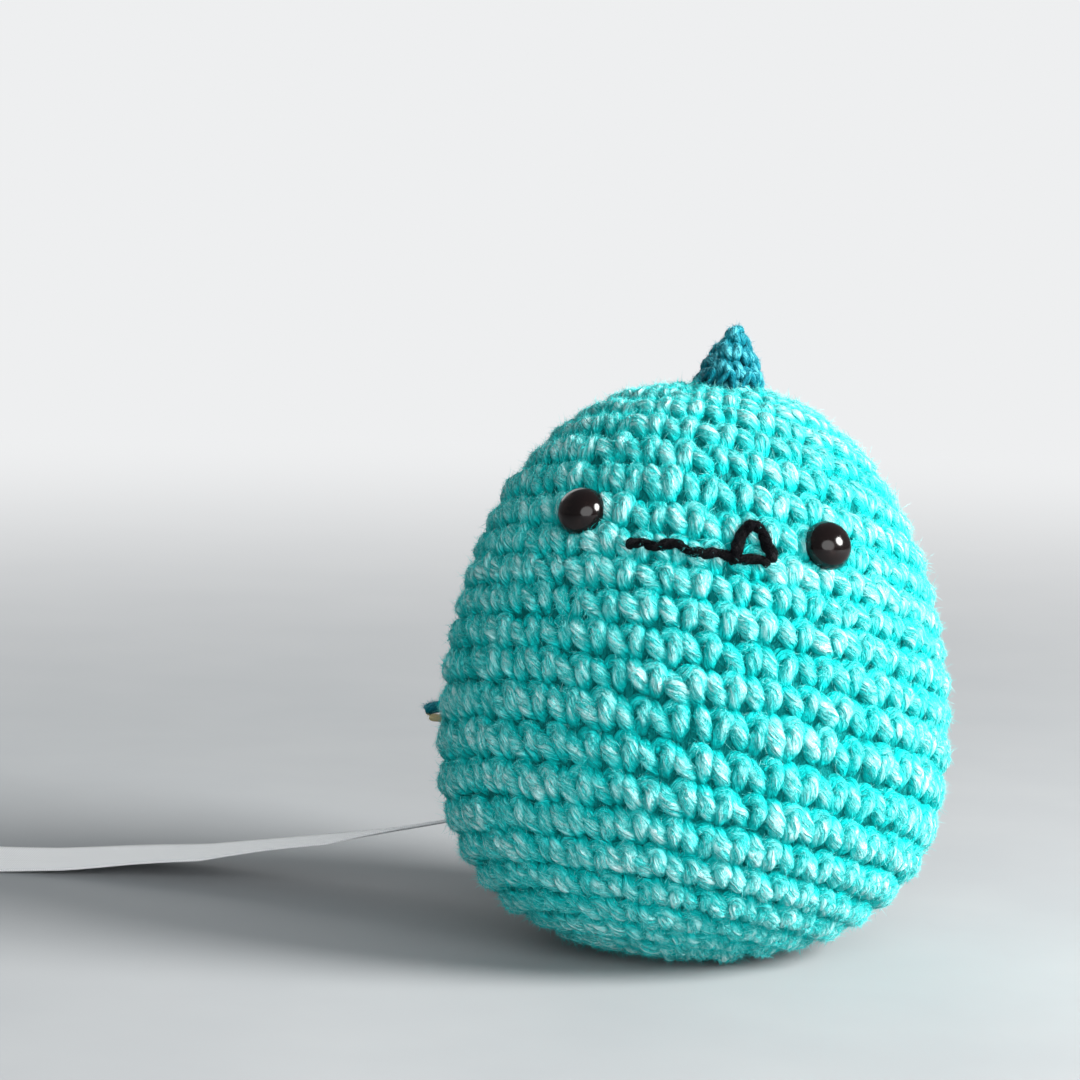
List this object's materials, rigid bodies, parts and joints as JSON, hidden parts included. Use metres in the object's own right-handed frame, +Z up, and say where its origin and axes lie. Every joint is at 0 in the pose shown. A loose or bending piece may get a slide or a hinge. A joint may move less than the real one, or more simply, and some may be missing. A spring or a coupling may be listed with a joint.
{
  "type": "crocheted dinosaur toy",
  "caption": "Egg-shaped stuffed crochet dinosaur with dome eyes, a stitched mouth with one tooth, spikes down the back and a long sewn-in label that lifts.",
  "frame": {"origin": "middle of the flat that the body stands on", "axes": "+Z up through the body's egg shape, -Y towards the side with the face, -X towards the side on which the label lies"},
  "size_m": [0.1675, 0.101, 0.1032],
  "materials": {
    "aqua_yarn": "worsted acrylic yarn in single crochet, softly fuzzy",
    "teal_yarn": "worsted acrylic yarn in single crochet, softly fuzzy",
    "black_yarn": "acrylic yarn, stitched",
    "cream_thread": "loose thread end",
    "fibre_filling": "loose polyester fibre",
    "black_plastic": "polished moulded plastic",
    "clear_plastic": "moulded plastic",
    "label_satin": "woven satin ribbon, unprinted",
    "label_thread": "sewing thread"
  },
  "bodies": {
    "toy": {"body_cover": "aqua_yarn", "stuffing": "fibre_filling", "closing_knot": "aqua_yarn", "left_eye": "black_plastic", "left_eye_washer": "clear_plastic", "right_eye": "black_plastic", "right_eye_washer": "clear_plastic", "mouth_line": "black_yarn", "tooth_arch": "black_yarn", "spike_1": "teal_yarn", "spike_1_seam": "teal_yarn", "spike_2": "teal_yarn", "spike_2_seam": "teal_yarn", "spike_3": "teal_yarn", "spike_3_seam": "teal_yarn", "spike_4": "teal_yarn", "spike_4_seam": "teal_yarn", "spike_5": "teal_yarn", "spike_5_seam": "teal_yarn", "teal_yarn_end": "teal_yarn", "cream_thread_end": "cream_thread"},
    "label": {"care_label": "label_satin", "label_stitches": "label_thread"}
  },
  "joints": [
    {"name": "label_flap", "type": "hinge", "parent": "toy", "child": "label", "pos_m": [-0.03327, 0.02079, 0.0165], "axis": [0.5299, 0.848, 0], "range_deg": [0, 50]}
  ]
}
